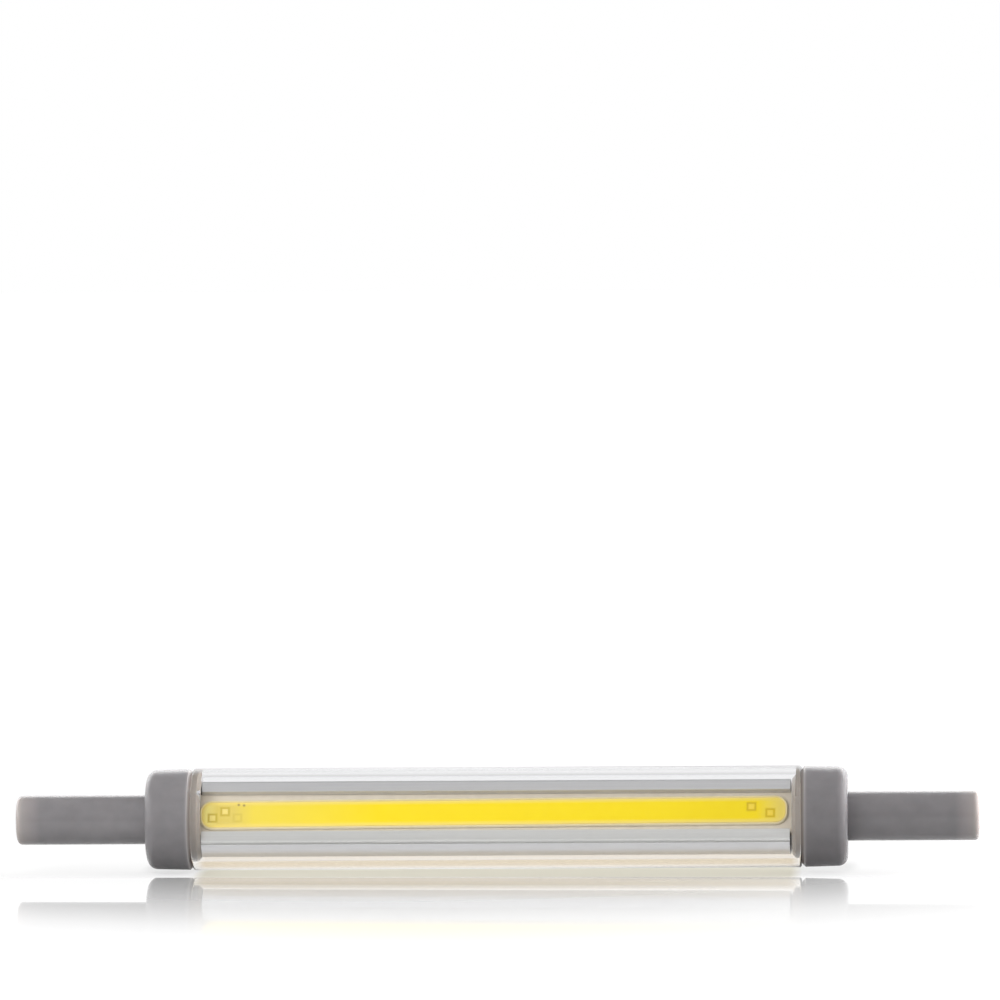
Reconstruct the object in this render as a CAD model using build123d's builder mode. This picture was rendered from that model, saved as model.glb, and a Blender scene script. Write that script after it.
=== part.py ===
from build123d import *
import os
from math import cos, radians, sin, sqrt

# A double-ended linear lamp. The lamp axis is X, the origin is the lamp's centre on that axis and Z is up.
# The light face looks to the front (-Y) and leans back from upright. Sizes are in millimetres.

# Whole lamp
overall_length = 117.6
face_lean = 29.0

# End caps: a post, a flange and a plug in one moulding
post_length = 16.0
post_radius = 3.0
post_round = 0.65
flange_length = 5.6
flange_radius = 6.15
flange_draft = 0.13
flange_round = 1.25
flange_edge = 0.4
plug_length = 1.25
plug_clearance = 0.1
plug_lead_in = 0.45
socket_radius = 4.2
socket_depth = 0.6
chamber_radius = 2.6
chamber_end_wall = 1.4

# Recessed contacts: the depth leaves 114.2 between the two contact faces
recess_depth = 1.7
recess_radius = 1.6
contact_head_radius = 1.25
contact_head_thickness = 0.5
contact_edge = 0.15
contact_shank_radius = 0.7
contact_shank_length = 3.0
contact_clearance = 0.02

# Clear tube
tube_radius = 6.2
tube_wall = 1.0
tube_end_gap = 0.03
tube_rim_edge = 0.3

# Aluminium extrusion: heights are measured from the lamp axis, the way the light leaves
sink_radius = 4.6
sink_wall = 0.8
sink_left_play = 0.05
sink_right_play = 0.25
rail_front = 2.34
rail_shoulder = 0.8
rail_edge_round = 0.08
channel_width = 5.1
web_thickness = 0.7
groove_angle = 62.0
groove_width = 0.32
groove_depth = 0.2

# Strip board, held by its edges under the rails, with its ends in slots in the caps
board_front = 1.38
board_thickness = 0.8
board_slot_depth = 0.15
board_clearance = 0.05
board_projection = 1.5

# Light strip: a bead around a yellow filling, laid a little out of line with the board
strip_left_gap = 0.37
strip_right_margin = 0.3
strip_width = 3.85
strip_end_flat = 0.75
strip_skew = 0.28
dam_width = 0.35
dam_height = 0.36
dam_edge = 0.12
fill_height = 0.3
die_size = 0.85
die_thickness = 0.2
die_pitch = 1.52
die_last_gap = 2.27
die_stagger = 0.42
die_left_margin = 1.61
die_right_margin = 2.16

# Driver board in the hollow of the extrusion
driver_gap = 0.75
driver_thickness = 0.6
driver_slot_depth = 0.3
driver_clearance = 0.05
driver_setback = 1.1

# Parts on the driver board
part_margin = 6.0
part_gap = 1.5
solder_gap = 0.03
fuse_length = 5.8
fuse_radius = 0.8
fuse_cap_radius = 0.9
fuse_cap_length = 0.9
chip_length = 4.5
chip_width = 3.2
chip_height = 1.3
chip_edge = 0.1
capacitor_count = 2
bridge_length = 5.0
bridge_width = 3.6
bridge_height = 1.3
bridge_feet = 2
ic_length = 4.9
ic_width = 3.8
ic_height = 1.35
ic_feet = 4
foot_width = 0.42
foot_reach = 0.75
foot_thickness = 0.25
package_chamfer = 0.25
resistor_length = 3.1
resistor_width = 1.6
resistor_height = 0.55
resistor_pitch = 5.0
resistor_count = 4

# Wires
lead_radius = 0.3
lead_clearance = 0.1
lead_bend_margin = 0.8
lead_bend_radius = 3.0
lead_landing = 2.0
link_radius = 0.2
link_offset = 1.0
link_clearance = 0.4
link_bend_radius = 0.7
link_landing = 1.0

# Stations along X, from the right end inwards
post_end = overall_length / 2
contact_face = post_end - recess_depth
shank_start = contact_face - contact_head_thickness
shank_end = shank_start - contact_shank_length
flange_end = post_end - post_length
chamber_end = flange_end - chamber_end_wall
shoulder = flange_end - flange_length
plug_face = shoulder - plug_length
socket_floor = plug_face + socket_depth
board_end = plug_face + board_projection
driver_end = plug_face - driver_setback

# The extrusion lies nearer to the left cap, and the light strip reaches into that cap's socket
sink_left = sink_left_play - plug_face
sink_right = plug_face - sink_right_play
sink_length = sink_right - sink_left
strip_left = strip_left_gap - socket_floor
strip_right = sink_right - strip_right_margin
strip_length = strip_right - strip_left

# Radii and heights that follow from the sizes above
tube_length = 2 * (shoulder - tube_end_gap)
tube_bore = tube_radius - tube_wall
plug_radius = tube_bore - plug_clearance
hollow_radius = sink_radius - sink_wall
channel_floor = board_front - board_thickness
hollow_top = channel_floor - web_thickness
driver_front = hollow_top - driver_gap
driver_back = driver_front - driver_thickness
board_slot_width = channel_width + 2 * board_slot_depth
board_width = board_slot_width - 2 * board_clearance
board_slot_height = board_thickness + board_clearance
driver_middle = (driver_front + driver_back) / 2
driver_slot_width = 2 * (sqrt(hollow_radius**2 - driver_middle**2) + driver_slot_depth)
driver_width = driver_slot_width - 2 * driver_clearance

# Directions square to the lamp axis: across the board and the way the light leaves
lean = radians(face_lean)
across = Vector(0, sin(lean), cos(lean))
outward = Vector(0, -cos(lean), sin(lean))
light_axis = Axis((0, 0, 0), outward)


def section(station):
    """Plane square to the lamp axis, with local X across the board and local Y the way the light leaves."""
    return Plane(origin=(station, 0, 0), x_dir=across, z_dir=(1, 0, 0))


def face(height, station=0, skew=0):
    """Plane parallel to the light face: local X along the lamp, or skew to it, local Y across the board."""
    along = Vector(cos(radians(skew)), 0, 0) + across * sin(radians(skew))
    return Plane(origin=Vector(station, 0, 0) + outward * height, x_dir=along, z_dir=outward)


def side(offset):
    """Plane along the lamp, with local X along the lamp and local Y the way the light leaves."""
    return Plane(origin=across * offset, x_dir=(1, 0, 0), z_dir=-across)


# Clear tube with bevelled ends
with BuildPart() as clear_tube:
    with BuildSketch(section(-tube_length / 2)):
        Circle(tube_radius)
        Circle(tube_bore, mode=Mode.SUBTRACT)
    extrude(amount=tube_length)
    chamfer(clear_tube.edges().filter_by(GeomType.CIRCLE).sort_by(SortBy.RADIUS)[-2:], tube_rim_edge)

# End cap: one turned outline, bored from both ends
with BuildPart() as right_end_cap:
    with BuildSketch(Plane.XY):
        with BuildLine():
            FilletPolyline(
                (plug_face, 0),
                (plug_face, plug_radius - plug_lead_in),
                (plug_face + plug_lead_in, plug_radius),
                (shoulder, plug_radius),
                (shoulder, flange_radius - flange_edge),
                (shoulder + flange_edge, flange_radius),
                (flange_end, flange_radius - flange_draft),
                (flange_end, post_radius),
                (post_end, post_radius),
                (post_end, 0),
                radius=(0, 0, 0, 0, 0, 0, flange_round, 0, post_round, 0),
                close=True,
            )
        make_face()
    revolve(axis=Axis.X)
    # Contact recess, seat of the contact head, hole for its shank, bore for the lead, chamber and socket
    for station, radius, stop in (
        (post_end, recess_radius, contact_face),
        (contact_face, contact_head_radius + contact_clearance, shank_start),
        (shank_start, contact_shank_radius + contact_clearance, shank_end),
        (shank_end, lead_radius + lead_clearance, chamber_end),
        (chamber_end, chamber_radius, socket_floor),
        (socket_floor, socket_radius, plug_face),
    ):
        with BuildSketch(section(station)):
            Circle(radius)
        extrude(amount=stop - station, mode=Mode.SUBTRACT)
    # Slots for the edges of the strip board
    with BuildSketch(section(plug_face)):
        with Locations((0, board_front + board_clearance)):
            Rectangle(
                board_slot_width,
                board_slot_height + board_clearance,
                align=(Align.CENTER, Align.MAX),
            )
    extrude(amount=board_end + board_clearance - plug_face, mode=Mode.SUBTRACT)

with BuildPart() as left_end_cap:
    mirror(right_end_cap.part, about=Plane.YZ)

# Contact: a flat head with a bevelled edge on a shank
with BuildPart() as right_contact:
    with BuildSketch(section(contact_face)):
        Circle(contact_head_radius)
    extrude(amount=-contact_head_thickness)
    chamfer(right_contact.faces().sort_by(Axis.X)[-1].edges(), contact_edge)
    with BuildSketch(section(shank_start)):
        Circle(contact_shank_radius)
    extrude(amount=-contact_shank_length)

with BuildPart() as left_contact:
    mirror(right_contact.part, about=Plane.YZ)

# Extrusion: a round body with a flat front, a channel between two rails, side grooves and a hollow back
with BuildPart() as heat_sink:
    with BuildSketch(section(sink_left)) as sink_profile:
        Circle(sink_radius)
        with Locations((0, rail_front)):
            Rectangle(
                2 * sink_radius,
                2 * sink_radius,
                align=(Align.CENTER, Align.MAX),
                mode=Mode.INTERSECT,
            )
        fillet(sink_profile.vertices().group_by(Axis.Y)[-1], radius=rail_shoulder)
        with Locations((0, channel_floor)):
            Rectangle(
                channel_width,
                rail_front - channel_floor,
                align=(Align.CENTER, Align.MIN),
                mode=Mode.SUBTRACT,
            )
        channel_mouth = sink_profile.vertices().group_by(Axis.Y)[-1].sort_by(lambda v: abs(v.X))[:2]
        fillet(channel_mouth, radius=rail_edge_round)
        with Locations((0, channel_floor)):
            Rectangle(
                board_slot_width,
                board_slot_height,
                align=(Align.CENTER, Align.MIN),
                mode=Mode.SUBTRACT,
            )
        with PolarLocations(sink_radius, 2, 90 - groove_angle, 2 * groove_angle, endpoint=True):
            Rectangle(2 * groove_depth, groove_width, mode=Mode.SUBTRACT)
    extrude(amount=sink_length)
    with BuildSketch(section(sink_left)):
        Circle(hollow_radius)
        with Locations((0, hollow_top)):
            Rectangle(
                2 * hollow_radius,
                2 * hollow_radius,
                align=(Align.CENTER, Align.MAX),
                mode=Mode.INTERSECT,
            )
        with Locations((0, driver_middle)):
            Rectangle(driver_slot_width, driver_thickness + 2 * driver_clearance)
    extrude(amount=sink_length, mode=Mode.SUBTRACT)

# Strip board, longer than the extrusion
with BuildPart() as cob_board:
    with BuildSketch(face(channel_floor)):
        Rectangle(2 * board_end, board_width)
    extrude(amount=board_thickness)

# Light strip
strip_base = face(board_front, (strip_left + strip_right) / 2, strip_skew)
fill_length = strip_length - 2 * dam_width
fill_width = strip_width - 2 * dam_width
strip_corner = (strip_width - strip_end_flat) / 2
fill_corner = strip_corner - dam_width
die_start = die_left_margin - strip_length / 2
last_die = strip_length / 2 - die_right_margin
die_row = last_die - die_last_gap - die_start
die_steps = round(die_row / die_pitch)
die_stations = [die_start + die_row * index / die_steps for index in range(die_steps + 1)] + [last_die]
die_places = [
    (station, die_stagger * (-1) ** (index + 1))
    for index, station in enumerate(die_stations)
]

with BuildPart() as silicone_dam:
    with BuildSketch(strip_base):
        RectangleRounded(strip_length, strip_width, strip_corner)
        RectangleRounded(fill_length, fill_width, fill_corner, mode=Mode.SUBTRACT)
    extrude(amount=dam_height)
    chamfer(silicone_dam.faces().sort_by(light_axis)[-1].edges(), dam_edge)

with BuildPart() as led_dies:
    with BuildSketch(strip_base):
        with Locations(*die_places):
            Rectangle(die_size, die_size)
    extrude(amount=die_thickness)

with BuildPart() as phosphor_fill:
    with BuildSketch(strip_base):
        RectangleRounded(fill_length, fill_width, fill_corner)
    extrude(amount=fill_height)
    with BuildSketch(strip_base):
        with Locations(*die_places):
            Rectangle(die_size, die_size)
    extrude(amount=die_thickness, mode=Mode.SUBTRACT)

# Driver board, slid into the slots of the hollow
with BuildPart() as driver_board:
    with BuildSketch(face(driver_back)):
        Rectangle(2 * driver_end, driver_width)
    extrude(amount=driver_thickness)

# Stations of the parts on the driver board, from its left end
fuse_station = -driver_end + part_margin + fuse_length / 2
surge_station = fuse_station + (fuse_length + chip_length) / 2 + part_gap
bridge_station = surge_station + (chip_length + bridge_length) / 2 + part_gap
capacitor_station = bridge_station + (bridge_length + chip_length) / 2 + part_gap
capacitor_pitch = chip_length + part_gap
last_capacitor = capacitor_station + (capacitor_count - 1) * capacitor_pitch
ic_station = last_capacitor + (chip_length + ic_length) / 2 + part_gap
resistor_station = capacitor_station - (chip_length - resistor_length) / 2


def chips(stations):
    """Block-shaped chips with bevelled edges on the back of the driver board."""
    with BuildPart() as blocks:
        with BuildSketch(face(driver_back)):
            with Locations(*[(station, 0) for station in stations]):
                Rectangle(chip_length, chip_width)
        extrude(amount=-chip_height)
        chamfer(blocks.edges(), chip_edge)
    return blocks.part


def package(station, length, width, height, feet):
    """Moulded package on the back of the driver board, with a row of feet along each long side."""
    with BuildPart() as moulding:
        with BuildSketch(face(driver_back, station)):
            Rectangle(length, width)
        extrude(amount=-height)
        chamfer(moulding.faces().sort_by(light_axis)[0].edges(), package_chamfer)
        with BuildSketch(face(driver_back, station)):
            with GridLocations(length / feet, 0, feet, 1):
                Rectangle(foot_width, width + 2 * foot_reach)
        extrude(amount=-foot_thickness)
    return moulding.part


# Fusible resistor: a round body between two metal end caps
fuse_height = driver_back - solder_gap - fuse_cap_radius
with BuildPart() as fusible_resistor:
    with BuildSketch(side(0)):
        with Locations((fuse_station, fuse_height)):
            Rectangle(fuse_length, fuse_radius, align=(Align.CENTER, Align.MIN))
            with GridLocations(fuse_length - fuse_cap_length, 0, 2, 1):
                Rectangle(fuse_cap_length, fuse_cap_radius, align=(Align.CENTER, Align.MIN))
    revolve(axis=Axis(outward * fuse_height, (1, 0, 0)))

surge_absorber = chips([surge_station])
smoothing_capacitors = chips([capacitor_station + n * capacitor_pitch for n in range(capacitor_count)])
bridge_rectifier = package(bridge_station, bridge_length, bridge_width, bridge_height, bridge_feet)
driver_ic = package(ic_station, ic_length, ic_width, ic_height, ic_feet)

# Resistors in a row on the front of the driver board, level with the capacitors
with BuildPart() as chip_resistors:
    with BuildSketch(face(driver_front)):
        with Locations(*[(resistor_station + n * resistor_pitch, 0) for n in range(resistor_count)]):
            Rectangle(resistor_length, resistor_width)
    extrude(amount=resistor_height)
    chamfer(chip_resistors.edges(), chip_edge)

# Lead from the contact, along the bore of the post, down to the driver board
lead_height = driver_front + solder_gap + lead_radius
with BuildPart() as right_lead:
    with BuildLine(side(0)):
        FilletPolyline(
            (shank_end, 0),
            (chamber_end - lead_bend_margin, 0),
            (plug_face + lead_bend_margin, lead_height),
            (driver_end - lead_landing, lead_height),
            radius=lead_bend_radius,
        )
    with BuildSketch(section(shank_end)):
        Circle(lead_radius)
    sweep()

with BuildPart() as left_lead:
    mirror(right_lead.part, about=Plane.YZ)

# Link from the end of the strip board, round that end, to the driver board
link_turn = board_end + link_clearance + link_radius
link_top = board_front + solder_gap + link_radius
link_bottom = driver_front + solder_gap + link_radius
with BuildPart() as negative_link_wire:
    with BuildLine(side(link_offset)):
        FilletPolyline(
            (socket_floor, link_top),
            (link_turn, link_top),
            (link_turn, link_bottom),
            (driver_end - link_landing, link_bottom),
            radius=link_bend_radius,
        )
    with BuildSketch(section(socket_floor)):
        with Locations((link_offset, link_top)):
            Circle(link_radius)
    sweep()

with BuildPart() as positive_link_wire:
    mirror(negative_link_wire.part, about=Plane.YZ)

pieces = {
    "clear_tube": clear_tube.part,
    "left_end_cap": left_end_cap.part,
    "right_end_cap": right_end_cap.part,
    "left_contact": left_contact.part,
    "right_contact": right_contact.part,
    "heat_sink": heat_sink.part,
    "cob_board": cob_board.part,
    "silicone_dam": silicone_dam.part,
    "phosphor_fill": phosphor_fill.part,
    "led_dies": led_dies.part,
    "driver_board": driver_board.part,
    "fusible_resistor": fusible_resistor.part,
    "surge_absorber": surge_absorber,
    "bridge_rectifier": bridge_rectifier,
    "smoothing_capacitors": smoothing_capacitors,
    "driver_ic": driver_ic,
    "chip_resistors": chip_resistors.part,
    "left_lead": left_lead.part,
    "right_lead": right_lead.part,
    "positive_link_wire": positive_link_wire.part,
    "negative_link_wire": negative_link_wire.part,
}

os.makedirs("parts", exist_ok=True)
for name, piece in pieces.items():
    piece.label = name
    export_step(piece, f"parts/{name}.step")
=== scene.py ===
import math

import bpy
import bmesh
from mathutils import Matrix, Vector

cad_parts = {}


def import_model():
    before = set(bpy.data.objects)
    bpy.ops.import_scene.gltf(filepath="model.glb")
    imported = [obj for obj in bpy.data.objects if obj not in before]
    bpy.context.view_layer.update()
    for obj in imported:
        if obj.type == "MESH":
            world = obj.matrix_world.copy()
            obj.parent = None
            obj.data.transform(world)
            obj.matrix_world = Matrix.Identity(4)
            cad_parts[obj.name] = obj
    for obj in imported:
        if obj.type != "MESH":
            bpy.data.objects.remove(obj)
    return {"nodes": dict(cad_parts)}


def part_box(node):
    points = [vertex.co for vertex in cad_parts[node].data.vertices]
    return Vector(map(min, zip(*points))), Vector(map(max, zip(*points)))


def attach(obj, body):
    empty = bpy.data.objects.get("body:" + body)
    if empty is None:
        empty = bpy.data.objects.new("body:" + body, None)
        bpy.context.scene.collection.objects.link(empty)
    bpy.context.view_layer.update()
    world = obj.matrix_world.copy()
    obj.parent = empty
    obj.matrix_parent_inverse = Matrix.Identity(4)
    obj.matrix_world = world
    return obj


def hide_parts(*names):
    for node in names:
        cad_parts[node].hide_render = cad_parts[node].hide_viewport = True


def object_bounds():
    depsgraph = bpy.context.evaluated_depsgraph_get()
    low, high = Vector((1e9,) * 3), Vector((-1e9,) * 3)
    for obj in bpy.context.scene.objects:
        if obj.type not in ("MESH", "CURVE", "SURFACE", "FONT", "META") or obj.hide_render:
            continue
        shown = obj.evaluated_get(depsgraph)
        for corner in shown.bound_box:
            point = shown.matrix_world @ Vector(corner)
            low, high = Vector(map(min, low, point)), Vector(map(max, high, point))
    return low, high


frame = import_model()
cad_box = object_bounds()
nodes = frame["nodes"]

# Lengths are in metres and follow the frame: X along the lamp, -Y to the front, Z up
MM = 0.001
ALONG = Vector((1, 0, 0))
UP = Vector((0, 0, 1))
WHITE = (1.0, 1.0, 1.0)

# Lamp: sizes from the frame, and those of its solids that the materials and the tube follow
tube_low, tube_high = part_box("clear_tube")
HALF_LENGTH = cad_box[1][0]
TUBE_RADIUS = tube_high.z
TUBE_WALL = 1.0 * MM
TUBE_BORE = TUBE_RADIUS - TUBE_WALL
POST_LENGTH = 16.0 * MM
FLANGE_LENGTH = 5.6 * MM
FLANGE_END = HALF_LENGTH - POST_LENGTH

# Light face: it leans back from upright, and the strip lies on it a little askew
FACE_LEAN = math.radians(29.0)
ACROSS = Vector((0, math.sin(FACE_LEAN), math.cos(FACE_LEAN)))
STRIP_SKEW = math.radians(0.28)
STRIP_ALONG = math.cos(STRIP_SKEW) * ALONG + math.sin(STRIP_SKEW) * ACROSS
STRIP_ACROSS = math.cos(STRIP_SKEW) * ACROSS - math.sin(STRIP_SKEW) * ALONG
FILL_CORNER = 1.2 * MM
DAM_WIDTH = 0.35 * MM
DIE_COUNT = 45

# Camera: a little to the right of the lamp's middle and above it
CAMERA_DISTANCE = 1000 * MM
CAMERA_AZIMUTH = math.radians(3.1)
CAMERA_PITCH = math.radians(2.8)
CAMERA_ROLL = math.radians(-0.57)
CLIP_START = 0.01
CLIP_END = 20.0

# Image: the lens and the place of the lamp's middle, in pixels; the sensor's width is in mm
SENSOR_WIDTH = 36.0
IMAGE_SIZE = 1000.0
FOCAL_PIXELS = 8190.0
LAMP_COLUMN = 497.2
LAMP_ROW = 817.9

# Clear tube: how finely it is turned, and its rounded rims
TUBE_SEGMENTS = 640
TUBE_RIM = 0.3 * MM
RIM_STEPS = 6
CRISP_ANGLE = math.radians(35.0)

# Adhesive: (distance from the tube's end, radius at the top of the bore), on the left with a sloping end.
# It lies where the sine of the turn passes its start, and is full after its ease.
ADHESIVE_DEPTH = 0.13 * MM
ADHESIVE_RADIUS = TUBE_BORE - ADHESIVE_DEPTH
LEFT_LENGTH = 0.77 * MM
LEFT_SLOPE = 0.41 * MM
RIGHT_LENGTH = 0.6 * MM
LEFT_ADHESIVE = ((0.0, ADHESIVE_RADIUS), (LEFT_LENGTH, ADHESIVE_RADIUS),
                 (LEFT_LENGTH + LEFT_SLOPE, ADHESIVE_RADIUS - LEFT_SLOPE))
RIGHT_ADHESIVE = ((0.0, ADHESIVE_RADIUS), (RIGHT_LENGTH, ADHESIVE_RADIUS))
ADHESIVE_STEP = 0.07 * MM
ADHESIVE_START = 0.35
ADHESIVE_EASE = 0.4

# Stops, here and below, are (place, value or colour) pairs. A place is a share of the length named above
# the stops or, where their name has BY in it, a facing, a depth or a height.

# Floor: its place, and its glow near the lamp and far from it, lower near the lamp as painted shade
FLOOR_DROP = 0.52 * MM
FLOOR_TILT = math.radians(0.2)
FLOOR_SIZE = 6.0
FLOOR_FAR = 0.5
FLOOR_GLOW_SHADED_NEAR = ((0.2, 0.63), (1.0, 0.84))
FLOOR_ALBEDO = 0.36

# Shade on the floor: how far it reaches to the front and to the back, and the length of its soft edges
SHADE_DEPTH = 0.36
SHADE_TINT = (1.0, 0.965, 0.83)
SHADE_END = 1.5 * MM
TUBE_SHADE_REACH = 10 * MM
TUBE_SHADE_BACK = 12 * MM
TUBE_SHADE_EDGE = 5 * MM
CAP_SHADE_REACH = 1.5 * MM
CAP_SHADE_BACK = 18 * MM
CAP_SHADE_EDGE = 12 * MM
CAP_GLOSS_SHADE = 0.8

# Painted warm shade on the floor right under the tube, yellowish as if lit by the strip, as seen through
# the glass
WARM_SHADE_TINT = (0.72, 0.63, 0.48)
WARM_SHADE_START = -4 * MM
WARM_SHADE_REACH = 20 * MM
WARM_SHADE_FADE = ((0.07, 0.0), (0.12, 1.0), (0.19, 1.0), (0.28, 0.68), (0.5, 0.85), (0.9, 0.0))

# Mirror image in the floor: it fades with the distance in front of the lamp, sooner at the lamp's ends,
# shows at a grazing view only, and is darkened near the tube by a painted shade tint
MIRROR_ROUGHNESS = 0.02
MIRROR_START = 5.8 * MM
MIRROR_CENTRE = -15 * MM
MIRROR_BEND = 140 * MM
MIRROR_LEAD = 6 * MM
MIRROR_REACH = 100 * MM
MIRROR_FADE = ((0.08, 0.68), (0.23, 0.58), (0.41, 0.43), (0.6, 0.23), (0.78, 0.1), (1.0, 0.0))
MIRROR_NEAR = 25 * MM
MIRROR_NEAR_SHADE_TINTS = ((0.23, (0.80, 0.76, 0.73)), (0.36, (0.68, 0.63, 0.54)), (0.52, (0.66, 0.61, 0.49)),
                     (0.68, (0.73, 0.70, 0.63)), (0.84, (0.945, 0.93, 0.91)), (1.0, WHITE))
MIRROR_BY_FACING = ((0.74, 0.0), (0.9, 1.0))

# World: white to the camera, with levels of its own as light, as gloss and through glass.
# Depth runs from 0 in front to 1 at the back, and height from 0 at the horizon to 1 overhead.
BACKDROP_LIGHT = 3.0
BACKDROP_BY_DEPTH = ((0.7, 0.0), (0.85, 1.0))
BACKDROP_BY_HEIGHT = ((0.3, 1.0), (0.6, 0.0))
LIGHT_BY_DEPTH = ((0.05, 0.85), (0.45, 0.5))
GLOSS_BY_DEPTH = ((0.05, 0.2), (0.3, 1.0))
GLOSS_BY_HEIGHT = ((0.1, 1.0), (0.25, 2.2), (0.5, 2.2), (0.75, 0.5))
SEEN_BY_DEPTH = ((0.05, 0.82), (0.3, 1.0))
HIGH_BACK_SEEN = (0.75, 0.75, 0.75)
HIGH_BACK_BY_DEPTH = ((0.4, 0.0), (0.6, 1.0))
HIGH_BACK_BY_HEIGHT = ((0.5, 0.0), (0.7, 1.0))

# Soft boxes: name, place, side and power in watts
SOFT_BOXES = (
    ("left_key", Vector((-0.085, -0.135, 0.065)), 0.12, 0.127),
    ("left_rim", Vector((-0.35, 0.05, 0.05)), 0.2, 0.2),
    ("right_rim", Vector((0.35, 0.05, 0.05)), 0.2, 2.2),
    ("front_fill", Vector((0.02, -0.5, 0.1)), 0.15, 0.22),
)

# Noise and grain: noise keeps mostly between two factors; mottle and grain are in features per mm
NOISE_LOW = 0.3
NOISE_HIGH = 0.7
NOISE_DETAIL = 3.0
MOTTLE_DETAIL = 4.0
GRAIN_STRENGTH = 0.1
GRAIN_HEIGHT = 0.02 * MM
GRAIN_DETAIL = 2.0

# Grey moulding: tones of the two caps, the right one painted darker as shade; their post ends,
# painted paler and warmer as light through the thin wall; a painted highlight and a painted shadow
# at the seam beside the tube; and the plugs, painted paler as light through the tube.
# Its reaches start at the post's tip
LEFT_GREY = ((0.232, 0.222, 0.230), (0.260, 0.249, 0.256))
RIGHT_SHADED_GREY = ((0.216, 0.206, 0.214), (0.242, 0.231, 0.238))
POST_END_LIT_GREY = (0.50, 0.45, 0.43)
SEAM_HIGHLIGHT = (0.33, 0.315, 0.315)
SEAM_SHADOW = (0.20, 0.175, 0.16)
LEFT_PLUG_LIT_GREY = (0.355, 0.320, 0.285)
RIGHT_PLUG_LIT_GREY = (0.41, 0.37, 0.33)
POST_END_LIGHT_REACH = 3.0 * MM
POST_END_LIGHT_FADE = ((0.0, 1.0), (0.3, 0.45), (1.0, 0.0))
PLUG_INSET = 0.1 * MM
PLUG_START = POST_LENGTH + FLANGE_LENGTH + PLUG_INSET
SEAM_FADE = ((0.963, 0.0), (0.979, 1.0))
SEAM_HIGHLIGHT_AND_SHADOW = ((0.979, SEAM_HIGHLIGHT), (0.990, SEAM_SHADOW))
MOULDING_IOR = 1.5
MOULDING_ROUGHNESS = (0.18, 0.26)
MOULDING_ROUGHNESS_MOTTLE = 1.5
MOULDING_MOTTLE = 0.5
MOULDING_GRAIN = 12.0
MOULDING_GRAIN_STRENGTH = 0.12
SUBSURFACE_DEPTH = 0.5 * MM
SUBSURFACE_RADIUS = (1.0, 0.85, 0.8)

# Clear wall: its tints, greyer where it is seen edge on, and a grey film along its top that darkens its top
# outline where it is seen edge on; the film's height is a share of the tube's radius
WALL_IOR = 1.49
WALL_GLOSS_TINT = (0.15, 0.15, 0.15)
WALL_TINTS = ((0.935, 0.936, 0.945), (0.945, 0.945, 0.955))
WALL_MOTTLE = 0.08
WALL_MOTTLE_DETAIL = 2.0
WALL_EDGE_TINT = (0.87, 0.865, 0.88)
WALL_EDGE_BY_FACING = ((0.6, 0.0), (0.85, 1.0))
FILM_GREY = (0.45, 0.45, 0.46)
FILM_BY_HEIGHT = ((0.88, 0.0), (0.94, 1.0))
FILM_BY_FACING = ((0.55, 0.0), (0.66, 0.4), (0.82, 0.55))

# Aluminium: tones between its lengthwise lines, and where its lower rail, painted paler as light, lies
# across the face
ALUMINIUM = ((0.64, 0.64, 0.645), (0.72, 0.72, 0.715))
LIT_ALUMINIUM = ((0.80, 0.80, 0.77), (0.88, 0.88, 0.85))
ALUMINIUM_ROUGHNESS = (0.38, 0.5)
LOWER_RAIL_END = 4.6 * MM
LOWER_RAIL_LIGHT_FADE = ((0.5, 0.0), (0.54, 1.0), (0.83, 1.0), (0.91, 0.0))
LINE_SCALE = 5.0
LINE_STRETCH = (0.004, 1.0, 1.0)
LINE_STRENGTH = 0.15
LINE_HEIGHT = 0.01 * MM

# Yellow filling: its tones, how far its dull ends reach, and the dies and specks that show in it.
# Places round dies and specks are distances in mm, and the specks' offsets are from the faint die,
# which is the one after the dies that show clearly at the left end.
BRIGHT_YELLOW = (1.0, 0.77, 0.016)
DEEP_YELLOW = (0.98, 0.74, 0.012)
PALE_YELLOW = (0.89, 0.71, 0.085)
DULL_YELLOW = (0.90, 0.72, 0.15)
LEFT_YELLOW = (0.78, 0.62, 0.14)
LIT_TIP_YELLOW = (1.0, 0.87, 0.27)
CREAM = (0.92, 0.74, 0.20)
CREAM_WIDTH = 0.5 * MM
SHOWN_DIES = 2
LEFT_DIE_EDGE = (0.63, 0.47, 0.07)
LEFT_DIE_MIDDLE = (0.89, 0.74, 0.23)
RIGHT_DIE_EDGE = (0.72, 0.50, 0.02)
RIGHT_DIE_MIDDLE = (0.96, 0.72, 0.076)
LEFT_REACH = 25 * MM
LEFT_TONES = ((0.02, LIT_TIP_YELLOW), (0.07, LEFT_YELLOW), (0.15, LEFT_YELLOW), (0.25, PALE_YELLOW))
LEFT_FADE = ((0.25, 1.0), (0.85, 0.0))
RIGHT_REACH = 10 * MM
RIGHT_FADE = ((0.05, 1.0), (0.35, 0.0))
DIE_OUTLINE = ((0.26, 0.0), (0.4, 1.0), (0.5, 1.0), (0.68, 0.0))
DIE_MIDDLE = ((0.26, 1.0), (0.4, 0.0))
FAINT_OUTLINE = ((0.26, 0.0), (0.4, 0.4), (0.5, 0.4), (0.66, 0.0))
SPECK_BROWN = (0.42, 0.30, 0.10)
SPECK_SPOT = ((0.08, 1.0), (0.22, 0.0))
SPECK_OFFSETS = ((0.12 * MM, 1.71 * MM), (0.77 * MM, 1.63 * MM))
FILL_ROUGHNESS = 0.4
FILL_GLOSS = 0.2
FILL_MOTTLE = 0.7
FILL_GRAIN = 1.5
FILL_GRAIN_DETAIL = 3.0

# Cream bead: its tones on the filling's side and on the board's side
BEAD_INNER = ((0.85, 0.70, 0.26), (0.91, 0.75, 0.30))
BEAD_OUTER = ((0.72, 0.65, 0.50), (0.78, 0.71, 0.55))
BEAD_ROUGHNESS = 0.4
BEAD_MOTTLE = 1.2
BEAD_GRAIN = 12.0

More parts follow.
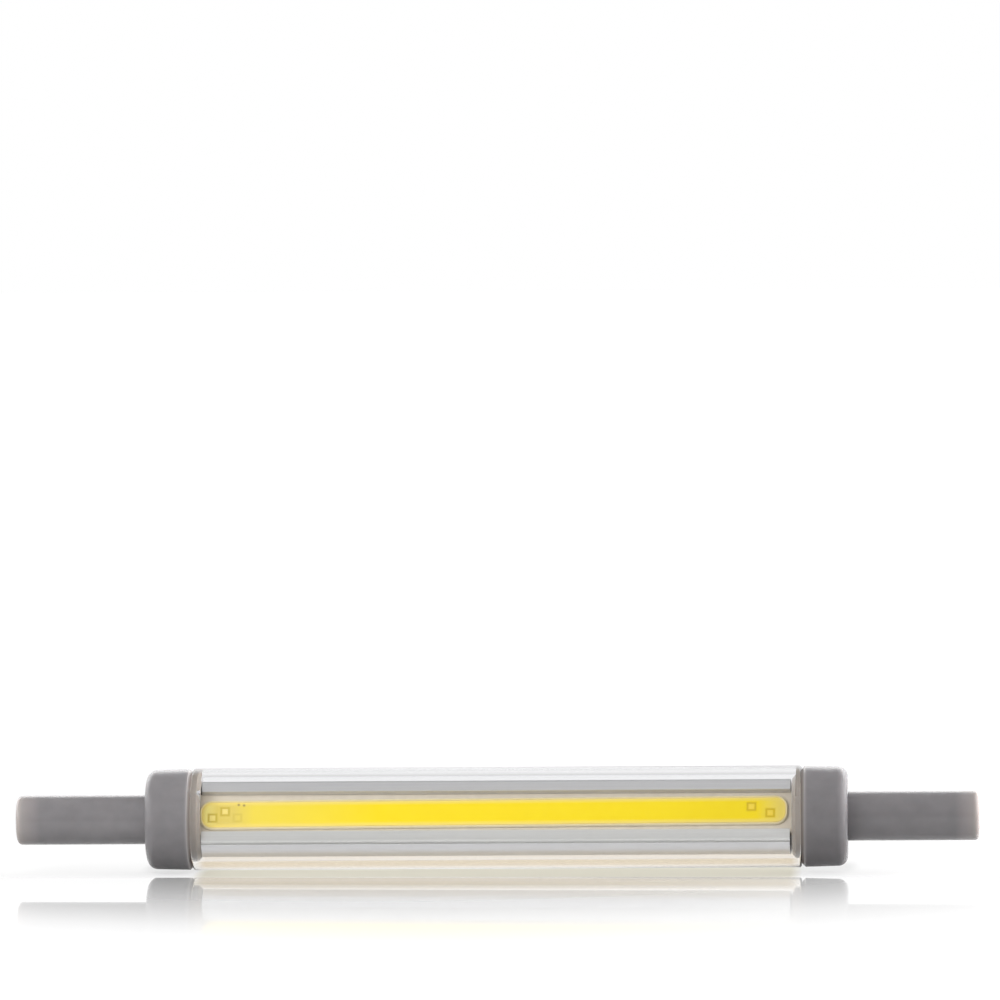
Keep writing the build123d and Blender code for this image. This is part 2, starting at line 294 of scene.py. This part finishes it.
# Plain surfaces: name, two tones, roughness and the pieces that wear it
PLAIN_SURFACES = (
    ("pale_board", (0.70, 0.63, 0.52), (0.76, 0.69, 0.57), 0.5, ("cob_board",)),
    ("die_face", (0.55, 0.55, 0.45), (0.70, 0.70, 0.60), 0.3, ("led_dies",)),
    ("green_board", (0.02, 0.10, 0.04), (0.03, 0.14, 0.05), 0.4, ("driver_board",)),
    ("lacquered_body", (0.13, 0.24, 0.16), (0.18, 0.30, 0.20), 0.5, ("fusible_resistor",)),
    ("blue_body", (0.02, 0.06, 0.20), (0.03, 0.09, 0.26), 0.4, ("surge_absorber",)),
    ("black_package", (0.010, 0.010, 0.011), (0.022, 0.022, 0.024), 0.5, ("bridge_rectifier", "driver_ic")),
    ("tan_body", (0.28, 0.18, 0.09), (0.36, 0.24, 0.12), 0.4, ("smoothing_capacitors",)),
    ("dark_chip", (0.012, 0.012, 0.012), (0.03, 0.03, 0.03), 0.35, ("chip_resistors",)),
    ("pale_insulation", (0.66, 0.66, 0.63), (0.74, 0.74, 0.71), 0.45, ("left_lead", "right_lead")),
    ("red_insulation", (0.42, 0.012, 0.008), (0.52, 0.02, 0.012), 0.45, ("positive_link_wire",)),
    ("black_insulation", (0.010, 0.010, 0.010), (0.02, 0.02, 0.02), 0.45, ("negative_link_wire",)),
)
PLAIN_MOTTLE = 1.2
PLAIN_GRAIN_PER_MOTTLE = 10.0
ROUGHNESS_SPREAD = 0.15

# Plated contacts: plain too, but of metal and more finely mottled
PLATED_TONES = ((0.56, 0.53, 0.48), (0.68, 0.65, 0.60))
PLATED_ROUGHNESS = 0.35
PLATED_MOTTLE = 2.0


# Node helpers

# Places of the colours among a mix node's sockets
MIX_FIRST = 6
MIX_SECOND = 7
MIX_RESULT = 2


def new_material(name):
    """A material with an empty node tree and its output."""
    material = bpy.data.materials.new(name)
    material.use_nodes = True
    tree = material.node_tree
    tree.nodes.clear()
    output = tree.nodes.new("ShaderNodeOutputMaterial")
    return material, tree, output


def add(tree, kind, **settings):
    """Add a node, set its properties, and return it."""
    node = tree.nodes.new(kind)
    for key, value in settings.items():
        setattr(node, key, value)
    return node


def feed(tree, socket, value):
    """Link a socket's value, or set a number or a colour."""
    if isinstance(value, bpy.types.NodeSocket):
        tree.links.new(value, socket)
    elif isinstance(value, tuple):
        socket.default_value = (*value, 1.0)
    else:
        socket.default_value = value


def principled(tree, output, **sockets):
    """A Principled shader on the output, with sockets set by name (underscores stand for spaces)."""
    shader = add(tree, "ShaderNodeBsdfPrincipled")
    for key, value in sockets.items():
        feed(tree, shader.inputs[key.replace("_", " ")], value)
    tree.links.new(shader.outputs[0], output.inputs["Surface"])
    return shader


def mix_shaders(tree, factor, first, second):
    """A mix of two shader nodes."""
    node = add(tree, "ShaderNodeMixShader")
    tree.links.new(factor, node.inputs["Fac"])
    tree.links.new(first.outputs[0], node.inputs[1])
    tree.links.new(second.outputs[0], node.inputs[2])
    return node


def math_node(tree, operation, first, second=None, third=None, clamp=False):
    """A math node whose operands are sockets or numbers; returns its output socket."""
    node = add(tree, "ShaderNodeMath", operation=operation, use_clamp=clamp)
    for socket, value in zip(node.inputs, (first, second, third)):
        if value is not None:
            feed(tree, socket, value)
    return node.outputs[0]


def product(tree, first, *others):
    """Product of sockets or numbers."""
    for other in others:
        first = math_node(tree, "MULTIPLY", first, other)
    return first


def round_distance(tree, first, second):
    """Length of the diagonal over two sides."""
    squares = math_node(tree, "MULTIPLY_ADD", first, first, math_node(tree, "MULTIPLY", second, second))
    return math_node(tree, "SQRT", squares)


def square_distance(tree, first, second):
    """The longer of two sides, whatever their signs."""
    first, second = math_node(tree, "ABSOLUTE", first), math_node(tree, "ABSOLUTE", second)
    return math_node(tree, "MAXIMUM", first, second)


def measure(tree, direction):
    """Distance in mm from the lamp's centre along a direction, in the piece's own space."""
    coordinates = add(tree, "ShaderNodeTexCoord")
    dot = add(tree, "ShaderNodeVectorMath", operation="DOT_PRODUCT")
    dot.inputs[1].default_value = direction / MM
    tree.links.new(coordinates.outputs["Object"], dot.inputs[0])
    return dot.outputs["Value"]


def noise(tree, scale, detail=NOISE_DETAIL, stretch=(1.0, 1.0, 1.0)):
    """Noise in the piece's own space, in features per mm, with each axis stretched; returns its factor."""
    coordinates = add(tree, "ShaderNodeTexCoord")
    mapping = add(tree, "ShaderNodeMapping")
    mapping.inputs["Scale"].default_value = stretch
    texture = add(tree, "ShaderNodeTexNoise")
    texture.inputs["Scale"].default_value = scale / MM
    texture.inputs["Detail"].default_value = detail
    tree.links.new(coordinates.outputs["Object"], mapping.inputs["Vector"])
    tree.links.new(mapping.outputs[0], texture.inputs["Vector"])
    return texture.outputs["Fac"]


def ramp(tree, factor, *stops):
    """A ramp through (place, value or colour) stops; returns its colour."""
    node = add(tree, "ShaderNodeValToRGB")
    elements = node.color_ramp.elements
    while len(elements) < len(stops):
        elements.new(1.0)
    for element, (place, value) in zip(elements, stops):
        element.position = place
        element.color = (*value, 1.0) if isinstance(value, tuple) else (value, value, value, 1.0)
    tree.links.new(factor, node.inputs["Fac"])
    return node.outputs["Color"]


def spread(tree, factor, low, high):
    """Noise spread between two values or colours."""
    return ramp(tree, factor, (NOISE_LOW, low), (NOISE_HIGH, high))


def wander(tree, scale, low, high, detail=MOTTLE_DETAIL):
    """Values or colours that wander between two, in features per mm."""
    return spread(tree, noise(tree, scale, detail), low, high)


def blend(tree, factor, first, second):
    """A mix of two colours; returns its colour."""
    node = add(tree, "ShaderNodeMix", data_type="RGBA")
    feed(tree, node.inputs["Factor"], factor)
    feed(tree, node.inputs[MIX_FIRST], first)
    feed(tree, node.inputs[MIX_SECOND], second)
    return node.outputs[MIX_RESULT]


def bump(tree, shader, height, strength, distance):
    """Bump from a height socket on a shader."""
    node = add(tree, "ShaderNodeBump")
    node.inputs["Strength"].default_value = strength
    node.inputs["Distance"].default_value = distance
    tree.links.new(height, node.inputs["Height"])
    tree.links.new(node.outputs[0], shader.inputs["Normal"])


def grain(tree, shader, scale, strength=GRAIN_STRENGTH, detail=GRAIN_DETAIL):
    """Fine grain on a shader, in features per mm."""
    bump(tree, shader, noise(tree, scale, detail), strength, GRAIN_HEIGHT)


def dress(material, *names):
    """Give frame nodes a material in each of their slots."""
    for name in names:
        for slot in nodes[name].material_slots:
            slot.material = material


# Materials

def grey_moulding():
    """Satin grey plastic, faintly mottled, with painted light: paler, warmer post ends, seam lines, paler
    plugs, darker right cap.
    """
    material, tree, output = new_material("grey_moulding")
    shader = principled(tree, output, IOR=MOULDING_IOR, Subsurface_Weight=1.0,
                        Subsurface_Scale=SUBSURFACE_DEPTH)
    shader.inputs["Subsurface Radius"].default_value = SUBSURFACE_RADIUS
    along = measure(tree, ALONG)
    right_side = math_node(tree, "GREATER_THAN", along, 0.0)
    left_body = wander(tree, MOULDING_MOTTLE, *LEFT_GREY)
    # The right cap's tones are painted darker, as shade on that end of the lamp
    right_shaded_body = wander(tree, MOULDING_MOTTLE, *RIGHT_SHADED_GREY)
    body = blend(tree, right_side, left_body, right_shaded_body)
    from_tip = math_node(tree, "SUBTRACT", HALF_LENGTH / MM, math_node(tree, "ABSOLUTE", along))
    # Painted light: the post ends are painted paler and warmer, as if lit through their thin wall
    lit_end = ramp(tree, math_node(tree, "DIVIDE", from_tip, POST_END_LIGHT_REACH / MM), *POST_END_LIGHT_FADE)
    colour = blend(tree, lit_end, body, POST_END_LIT_GREY)
    inward = math_node(tree, "DIVIDE", from_tip, PLUG_START / MM)
    # Painted highlight and painted shadow: a pale line at the flange's inner edge, then a dark line in the
    # gap by the tube's end
    colour = blend(tree, ramp(tree, inward, *SEAM_FADE), colour, ramp(tree, inward, *SEAM_HIGHLIGHT_AND_SHADOW))
    # Painted light: the plugs are painted paler than the caps, as lit through the tube, and differently at
    # each end
    plug_lit_grey = blend(tree, right_side, LEFT_PLUG_LIT_GREY, RIGHT_PLUG_LIT_GREY)
    plug = math_node(tree, "GREATER_THAN", from_tip, PLUG_START / MM)
    tree.links.new(blend(tree, plug, colour, plug_lit_grey), shader.inputs["Base Color"])
    tree.links.new(wander(tree, MOULDING_ROUGHNESS_MOTTLE, *MOULDING_ROUGHNESS), shader.inputs["Roughness"])
    grain(tree, shader, MOULDING_GRAIN, MOULDING_GRAIN_STRENGTH)
    return material


def clear_wall():
    """Clear tube wall with a faint film on its top; shadow and diffuse rays go straight through it."""
    material, tree, output = new_material("clear_wall")
    wall = principled(tree, output, Roughness=0.0, IOR=WALL_IOR, Transmission_Weight=1.0,
                      Specular_Tint=WALL_GLOSS_TINT)
    facing = add(tree, "ShaderNodeLayerWeight").outputs["Facing"]
    tint = wander(tree, WALL_MOTTLE, *WALL_TINTS, WALL_MOTTLE_DETAIL)
    edge = ramp(tree, facing, *WALL_EDGE_BY_FACING)
    tree.links.new(blend(tree, edge, tint, WALL_EDGE_TINT), wall.inputs["Base Color"])
    film = add(tree, "ShaderNodeBsdfDiffuse")
    feed(tree, film.inputs["Color"], FILM_GREY)
    height = math_node(tree, "DIVIDE", measure(tree, UP), TUBE_RADIUS / MM)
    top_film = product(tree, ramp(tree, height, *FILM_BY_HEIGHT), ramp(tree, facing, *FILM_BY_FACING))
    rays = add(tree, "ShaderNodeLightPath").outputs
    straight = math_node(tree, "MAXIMUM", rays["Is Shadow Ray"], rays["Is Diffuse Ray"])
    clear = add(tree, "ShaderNodeBsdfTransparent")
    surface = mix_shaders(tree, straight, mix_shaders(tree, top_film, wall, film), clear)
    tree.links.new(surface.outputs[0], output.inputs["Surface"])
    return material


def extruded_aluminium():
    """Satin aluminium with lengthwise extrusion lines, its lower rail painted paler as light."""
    material, tree, output = new_material("extruded_aluminium")
    shader = principled(tree, output, Metallic=1.0)
    lines = noise(tree, LINE_SCALE, stretch=LINE_STRETCH)
    downward = math_node(tree, "DIVIDE", measure(tree, ACROSS), -LOWER_RAIL_END / MM)
    # Painted light: the lower rail is painted in the paler tones
    lit_lower_rail = ramp(tree, downward, *LOWER_RAIL_LIGHT_FADE)
    colour = blend(tree, lit_lower_rail, spread(tree, lines, *ALUMINIUM), spread(tree, lines, *LIT_ALUMINIUM))
    tree.links.new(colour, shader.inputs["Base Color"])
    tree.links.new(spread(tree, lines, *ALUMINIUM_ROUGHNESS), shader.inputs["Roughness"])
    bump(tree, shader, lines, LINE_STRENGTH, LINE_HEIGHT)
    return material


def row_centres(piece, count):
    """Centres of a mesh's like solids, from left to right, in a row along X."""
    corners = sorted((vertex.co for vertex in piece.data.vertices), key=lambda corner: corner.x)
    share = len(corners) // count
    return [sum(corners[start:start + share], Vector()) / share for start in range(0, len(corners), share)]


def nearest(tree, centres, distance_of):
    """Distance in mm across the light face to the nearest of some centres, round or square."""
    along, across = measure(tree, ALONG), measure(tree, ACROSS)
    least = None
    for centre in centres:
        aside = math_node(tree, "SUBTRACT", along, centre.dot(ALONG) / MM)
        above = math_node(tree, "SUBTRACT", across, centre.dot(ACROSS) / MM)
        distance = distance_of(tree, aside, above)
        least = distance if least is None else math_node(tree, "MINIMUM", least, distance)
    return least


def past_edge(tree):
    """Distance in mm past the filling's rounded outline, less than zero inside it."""
    sides = []
    for axis in (STRIP_ALONG, STRIP_ACROSS):
        places = [vertex.co.dot(axis) for vertex in nodes["phosphor_fill"].data.vertices]
        middle, half = (max(places) + min(places)) / 2, (max(places) - min(places)) / 2
        offset = math_node(tree, "ABSOLUTE", math_node(tree, "SUBTRACT", measure(tree, axis), middle / MM))
        sides.append(math_node(tree, "SUBTRACT", offset, (half - FILL_CORNER) / MM))
    round_part = round_distance(tree, *(math_node(tree, "MAXIMUM", side, 0.0) for side in sides))
    flat_part = math_node(tree, "MINIMUM", math_node(tree, "MAXIMUM", *sides), 0.0)
    return math_node(tree, "SUBTRACT", math_node(tree, "ADD", round_part, flat_part), FILL_CORNER / MM)


def yellow_phosphor():
    """Yellow filling, cream along its edge and duller at its ends, where the last dies show through, its
    left tip painted brighter as light.
    """
    material, tree, output = new_material("yellow_phosphor")
    shader = principled(tree, output, Roughness=FILL_ROUGHNESS, Specular_IOR_Level=FILL_GLOSS)
    low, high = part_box("phosphor_fill")
    along = measure(tree, ALONG)
    from_left = math_node(tree, "SUBTRACT", along, low.x / MM)
    from_left = math_node(tree, "DIVIDE", from_left, LEFT_REACH / MM)
    from_right = math_node(tree, "SUBTRACT", high.x / MM, along)
    from_right = math_node(tree, "DIVIDE", from_right, RIGHT_REACH / MM)
    colour = wander(tree, FILL_MOTTLE, BRIGHT_YELLOW, DEEP_YELLOW)
    # The left tip is painted brighter, as light, against the shade of the cap and plug
    colour = blend(tree, ramp(tree, from_left, *LEFT_FADE), colour, ramp(tree, from_left, *LEFT_TONES))
    colour = blend(tree, ramp(tree, from_right, *RIGHT_FADE), colour, DULL_YELLOW)
    creamy = math_node(tree, "MULTIPLY_ADD", past_edge(tree), MM / CREAM_WIDTH, 1.0, clamp=True)
    colour = blend(tree, creamy, colour, CREAM)
    dies = row_centres(nodes["led_dies"], DIE_COUNT)
    for shown, edge_tone, middle_tone in ((dies[:SHOWN_DIES], LEFT_DIE_EDGE, LEFT_DIE_MIDDLE),
                                          (dies[-SHOWN_DIES:], RIGHT_DIE_EDGE, RIGHT_DIE_MIDDLE)):
        distance = nearest(tree, shown, square_distance)
        colour = blend(tree, ramp(tree, distance, *DIE_OUTLINE), colour, edge_tone)
        colour = blend(tree, ramp(tree, distance, *DIE_MIDDLE), colour, middle_tone)
    faint_die = dies[SHOWN_DIES]
    faint = ramp(tree, nearest(tree, [faint_die], square_distance), *FAINT_OUTLINE)
    colour = blend(tree, faint, colour, LEFT_DIE_EDGE)
    specks = [faint_die + aside * ALONG + above * ACROSS for aside, above in SPECK_OFFSETS]
    spots = ramp(tree, nearest(tree, specks, round_distance), *SPECK_SPOT)
    tree.links.new(blend(tree, spots, colour, SPECK_BROWN), shader.inputs["Base Color"])
    grain(tree, shader, FILL_GRAIN, detail=FILL_GRAIN_DETAIL)
    return material


def cream_bead():
    """Bead that takes the filling's tone on its inner side and the board's tone on its outer side."""
    material, tree, output = new_material("cream_bead")
    shader = principled(tree, output, Roughness=BEAD_ROUGHNESS)
    outward = math_node(tree, "MULTIPLY", past_edge(tree), MM / DAM_WIDTH, clamp=True)
    inner, outer = wander(tree, BEAD_MOTTLE, *BEAD_INNER), wander(tree, BEAD_MOTTLE, *BEAD_OUTER)
    tree.links.new(blend(tree, outward, inner, outer), shader.inputs["Base Color"])
    grain(tree, shader, BEAD_GRAIN)
    return material


def plain(name, low, high, roughness, mottle=PLAIN_MOTTLE, **sockets):
    """A surface whose tone and roughness wander, with a fine grain."""
    material, tree, output = new_material(name)
    shader = principled(tree, output, **sockets)
    tree.links.new(wander(tree, mottle, low, high), shader.inputs["Base Color"])
    smooth, rough = (1 - ROUGHNESS_SPREAD) * roughness, (1 + ROUGHNESS_SPREAD) * roughness
    tree.links.new(wander(tree, 2 * mottle, smooth, rough), shader.inputs["Roughness"])
    grain(tree, shader, PLAIN_GRAIN_PER_MOTTLE * mottle)
    return material


dress(grey_moulding(), "left_end_cap", "right_end_cap")
dress(extruded_aluminium(), "heat_sink")
dress(yellow_phosphor(), "phosphor_fill")
dress(cream_bead(), "silicone_dam")
dress(plain("plated_contact", *PLATED_TONES, PLATED_ROUGHNESS, PLATED_MOTTLE, Metallic=1.0),
      "left_contact", "right_contact")
for surface_name, low_tone, high_tone, surface_roughness, wearers in PLAIN_SURFACES:
    dress(plain(surface_name, low_tone, high_tone, surface_roughness), *wearers)


# Clear tube: a fine lathe of the same form, with clear adhesive between its bore and the top of each plug

def lathe(name, profile, segments):
    """Closed profile of (x, radius, radius at the top) points turned about X, its flat steps crisp."""
    mesh = bpy.data.meshes.new(name)
    bm = bmesh.new()
    rings = []
    for x, radius, top_radius in profile:
        ring = []
        for step in range(segments):
            angle = 2 * math.pi * step / segments
            share = min(max((math.sin(angle) - ADHESIVE_START) / ADHESIVE_EASE, 0.0), 1.0)
            turned = radius + share * (top_radius - radius)
            ring.append(bm.verts.new((x, turned * math.cos(angle), turned * math.sin(angle))))
        rings.append(ring)
    for index, ring in enumerate(rings):
        following = rings[(index + 1) % len(rings)]
        for step in range(segments):
            other = (step + 1) % segments
            bm.faces.new((ring[step], ring[other], following[other], following[step]))
    bmesh.ops.recalc_face_normals(bm, faces=bm.faces)
    for face in bm.faces:
        face.smooth = True
    bm.to_mesh(mesh)
    bm.free()
    mesh.set_sharp_from_angle(angle=CRISP_ANGLE)
    piece = bpy.data.objects.new(name, mesh)
    bpy.context.scene.collection.objects.link(piece)
    return piece


def rim(end, inward):
    """Rounded outer edge of a tube end, from the end face to the outer wall."""
    points = []
    for step in range(RIM_STEPS + 1):
        turn = 0.5 * math.pi * step / RIM_STEPS
        x = end + inward * TUBE_RIM * (1 - math.sin(turn))
        radius = TUBE_RADIUS - TUBE_RIM * (1 - math.cos(turn))
        points.append((x, radius, radius))
    return points[::-1]


def bore(end, inward, adhesive):
    """Bore near a tube end, from inside the tube to its end face."""
    last_place = adhesive[-1][0]
    bare = (last_place + 2 * ADHESIVE_STEP, last_place + ADHESIVE_STEP)
    points = [(end + inward * place, TUBE_BORE, TUBE_BORE) for place in bare]
    points += [(end + inward * place, TUBE_BORE, radius) for place, radius in adhesive[::-1]]
    return points


tube_profile = bore(tube_low.x, 1, LEFT_ADHESIVE) + rim(tube_low.x, 1)
tube_profile += (bore(tube_high.x, -1, RIGHT_ADHESIVE) + rim(tube_high.x, -1))[::-1]
tube = lathe("tube_wall", tube_profile, TUBE_SEGMENTS)
tube.data.materials.append(clear_wall())
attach(tube, "root")
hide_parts("clear_tube")


# Stage: white floor that mirrors the lamp near it

def before(tree, place, limit, edge):
    """1 for a place well short of a limit, falling softly to 0 at it."""
    return math_node(tree, "DIVIDE", math_node(tree, "SUBTRACT", limit, place), edge, clamp=True)


def lit_floor(tree, rays, place, back, forward, under_tube, under_cap):
    """The floor's own shader: white glow and matte paint, with painted shade under the lamp, yellowish
    right under the tube.
    """
    camera, through = rays["Is Camera Ray"], rays["Is Transmission Ray"]
    gloss = math_node(tree, "SUBTRACT", rays["Is Glossy Ray"], through)
    tube_shade = product(tree, under_tube, before(tree, forward, TUBE_SHADE_REACH, TUBE_SHADE_EDGE),
                         before(tree, back, TUBE_SHADE_BACK, TUBE_SHADE_EDGE))
    near_cap = product(tree, under_cap, before(tree, back, CAP_SHADE_BACK, CAP_SHADE_EDGE))
    cap_shade = product(tree, near_cap, before(tree, forward, CAP_SHADE_REACH, CAP_SHADE_EDGE))
    seen_shade = product(tree, math_node(tree, "ADD", tube_shade, cap_shade), SHADE_DEPTH, camera)
    gloss_shade = product(tree, near_cap, CAP_GLOSS_SHADE, gloss)
    lit = math_node(tree, "SUBTRACT", 1.0, math_node(tree, "MAXIMUM", seen_shade, gloss_shade))

    # Painted shade, yellowish, on the floor right under the tube, seen through the glass
    warm_shade = math_node(tree, "DIVIDE", math_node(tree, "SUBTRACT", back, WARM_SHADE_START), WARM_SHADE_REACH)
    warm_shade = product(tree, ramp(tree, warm_shade, *WARM_SHADE_FADE), under_tube, through)
    tint = blend(tree, warm_shade, WHITE, WARM_SHADE_TINT)
    tint = blend(tree, product(tree, tube_shade, camera), tint, SHADE_TINT)

    radius = add(tree, "ShaderNodeVectorMath", operation="LENGTH")
    tree.links.new(place, radius.inputs[0])
    far = math_node(tree, "MAXIMUM", math_node(tree, "DIVIDE", radius.outputs["Value"], FLOOR_FAR), through)
    seen = math_node(tree, "MAXIMUM", camera, rays["Is Glossy Ray"])
    seen = math_node(tree, "MAXIMUM", seen, through)
    glow = add(tree, "ShaderNodeEmission")
    tree.links.new(tint, glow.inputs["Color"])
    # The glow is lower near the lamp, as painted shade
    tree.links.new(product(tree, ramp(tree, far, *FLOOR_GLOW_SHADED_NEAR), lit, seen), glow.inputs["Strength"])
    paint = add(tree, "ShaderNodeVectorMath", operation="SCALE")
    tree.links.new(tint, paint.inputs[0])
    paint.inputs["Scale"].default_value = FLOOR_ALBEDO
    matte = add(tree, "ShaderNodeBsdfDiffuse")
    tree.links.new(paint.outputs[0], matte.inputs["Color"])
    both = add(tree, "ShaderNodeAddShader")
    tree.links.new(glow.outputs[0], both.inputs[0])
    tree.links.new(matte.outputs[0], both.inputs[1])
    return both


def floor_mirror(tree, camera, along, forward, under_tube):
    """The floor's mirror, and how much of it shows."""
    mirror = add(tree, "ShaderNodeBsdfGlossy")
    mirror.inputs["Roughness"].default_value = MIRROR_ROUGHNESS
    # Painted shade: the mirror is tinted darker near the tube
    near_shade_tint = ramp(tree, math_node(tree, "DIVIDE", forward, MIRROR_NEAR), *MIRROR_NEAR_SHADE_TINTS)
    tree.links.new(blend(tree, under_tube, WHITE, near_shade_tint), mirror.inputs["Color"])
    off_centre = math_node(tree, "SUBTRACT", along, MIRROR_CENTRE)
    bend = math_node(tree, "DIVIDE", product(tree, off_centre, off_centre), MIRROR_BEND)
    distance = math_node(tree, "SUBTRACT", math_node(tree, "ADD", forward, bend), MIRROR_LEAD)
    fade = ramp(tree, math_node(tree, "DIVIDE", distance, MIRROR_REACH), *MIRROR_FADE)
    started = math_node(tree, "GREATER_THAN", forward, MIRROR_START)
    facing = add(tree, "ShaderNodeLayerWeight").outputs["Facing"]
    grazing = ramp(tree, facing, *MIRROR_BY_FACING)
    return mirror, product(tree, fade, started, grazing, camera)


def white_floor():
    """White floor with the lamp's shade on it, which mirrors the lamp in front of it."""
    material, tree, output = new_material("white_floor")
    rays = add(tree, "ShaderNodeLightPath").outputs
    place = add(tree, "ShaderNodeNewGeometry").outputs["Position"]
    split = add(tree, "ShaderNodeSeparateXYZ")
    tree.links.new(place, split.inputs[0])
    along, back = split.outputs["X"], split.outputs["Y"]
    forward = math_node(tree, "MULTIPLY", back, -1.0)
    aside = math_node(tree, "ABSOLUTE", along)
    under_tube = before(tree, aside, tube_high.x, SHADE_END)
    under_lamp = before(tree, aside, FLANGE_END + SHADE_END, SHADE_END)
    under_cap = math_node(tree, "SUBTRACT", under_lamp, under_tube)
    white = lit_floor(tree, rays, place, back, forward, under_tube, under_cap)
    mirror, shown = floor_mirror(tree, rays["Is Camera Ray"], along, forward, under_tube)
    surface = mix_shaders(tree, shown, white, mirror)
    tree.links.new(surface.outputs[0], output.inputs["Surface"])
    return material


def lay_floor():
    """Square floor just under the tube, a little out of line with the lamp."""
    half = FLOOR_SIZE / 2
    level = -TUBE_RADIUS - FLOOR_DROP
    slope = math.tan(FLOOR_TILT)
    outline = ((-half, -half), (half, -half), (half, half), (-half, half))
    mesh = bpy.data.meshes.new("floor")
    mesh.from_pydata([(x, y, level - x * slope) for x, y in outline], [], [(0, 1, 2, 3)])
    mesh.materials.append(white_floor())
    floor = bpy.data.objects.new("floor", mesh)
    bpy.context.scene.collection.objects.link(floor)


lay_floor()


# Light: a world that is bright at the back, and soft boxes

def light_tent():
    """World whose light comes mostly from low at the back, and whose gloss is a low band, dim in front."""
    world = bpy.data.worlds.new("light_tent")
    world.use_nodes = True
    tree = world.node_tree
    tree.nodes.clear()
    output = add(tree, "ShaderNodeOutputWorld")
    background = add(tree, "ShaderNodeBackground")
    feed(tree, background.inputs["Color"], WHITE)
    coordinates = add(tree, "ShaderNodeTexCoord")
    split = add(tree, "ShaderNodeSeparateXYZ")
    tree.links.new(coordinates.outputs["Generated"], split.inputs[0])
    height = split.outputs["Z"]
    depth = math_node(tree, "MULTIPLY_ADD", split.outputs["Y"], 0.5, 0.5)
    backdrop = product(tree, ramp(tree, depth, *BACKDROP_BY_DEPTH), ramp(tree, height, *BACKDROP_BY_HEIGHT))
    light = math_node(tree, "MULTIPLY_ADD", backdrop, BACKDROP_LIGHT, ramp(tree, depth, *LIGHT_BY_DEPTH))
    gloss = product(tree, ramp(tree, depth, *GLOSS_BY_DEPTH), ramp(tree, height, *GLOSS_BY_HEIGHT))
    high_back = product(tree, ramp(tree, depth, *HIGH_BACK_BY_DEPTH),
                        ramp(tree, height, *HIGH_BACK_BY_HEIGHT))
    seen = blend(tree, high_back, ramp(tree, depth, *SEEN_BY_DEPTH), HIGH_BACK_SEEN)
    rays = add(tree, "ShaderNodeLightPath").outputs
    level = blend(tree, rays["Is Glossy Ray"], light, gloss)
    level = blend(tree, rays["Is Transmission Ray"], level, seen)
    level = blend(tree, rays["Is Camera Ray"], level, WHITE)
    tree.links.new(level, background.inputs["Strength"])
    tree.links.new(background.outputs[0], output.inputs["Surface"])
    bpy.context.scene.world = world


def soft_box(name, place, side, power):
    """Square area light that faces the lamp's middle and isn't seen itself."""
    light = bpy.data.lights.new(name, "AREA")
    light.shape = "SQUARE"
    light.size = side
    light.energy = power
    box = bpy.data.objects.new(name, light)
    bpy.context.scene.collection.objects.link(box)
    box.location = place
    box.rotation_euler = (-place).to_track_quat("-Z", "Y").to_euler()
    box.visible_camera = False
    box.visible_glossy = False
    box.visible_transmission = False


light_tent()
for soft_box_values in SOFT_BOXES:
    soft_box(*soft_box_values)


# Camera

def aim_camera():
    """Camera whose view puts the lamp's middle at its column and row of the image."""
    data = bpy.data.cameras.new("camera")
    data.sensor_width = SENSOR_WIDTH
    data.lens = FOCAL_PIXELS / IMAGE_SIZE * SENSOR_WIDTH
    data.clip_start = CLIP_START
    data.clip_end = CLIP_END
    camera = bpy.data.objects.new("camera", data)
    bpy.context.scene.collection.objects.link(camera)
    right = Vector((math.cos(CAMERA_AZIMUTH), math.sin(CAMERA_AZIMUTH), 0.0))
    level_back = Vector((math.sin(CAMERA_AZIMUTH), -math.cos(CAMERA_AZIMUTH), 0.0))
    back = level_back * math.cos(CAMERA_PITCH) + UP * math.sin(CAMERA_PITCH)
    up = back.cross(right)
    turn = Matrix((right, up, back)).transposed() @ Matrix.Rotation(CAMERA_ROLL, 3, "Z")
    image_place = Vector((LAMP_COLUMN - IMAGE_SIZE / 2, IMAGE_SIZE / 2 - LAMP_ROW, -FOCAL_PIXELS))
    location = turn @ image_place * (-CAMERA_DISTANCE / FOCAL_PIXELS)
    camera.matrix_world = Matrix.Translation(location) @ turn.to_4x4()
    bpy.context.scene.camera = camera


aim_camera()
bpy.context.scene.view_settings.view_transform = "Standard"
